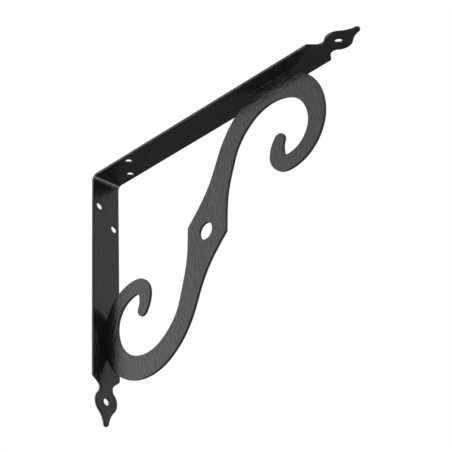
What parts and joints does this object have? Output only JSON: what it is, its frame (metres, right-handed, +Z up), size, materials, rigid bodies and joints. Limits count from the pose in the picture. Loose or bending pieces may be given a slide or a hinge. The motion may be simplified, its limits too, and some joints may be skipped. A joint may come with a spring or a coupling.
{
  "type": "shelf bracket",
  "caption": "Right-angle shelf bracket of flat black steel strip with pointed finials, braced by an S-scroll plate on edge.",
  "frame": {"origin": "on the wall arm's back face, on the strip's centre line, midway between its upper two screw holes", "axes": "+X out from the wall along the shelf arm, +Y along the wall, +Z up"},
  "size_m": [0.2606, 0.025, 0.2011],
  "materials": {
    "strip_coat": "semi-gloss black powder coat with faint orange peel, lighter on the worn edges",
    "plate_coat": "semi-gloss black powder coat over slightly wavy plate"
  },
  "bodies": {
    "root": {"bent_strip": "strip_coat", "scroll_plate": "plate_coat"}
  },
  "joints": []
}
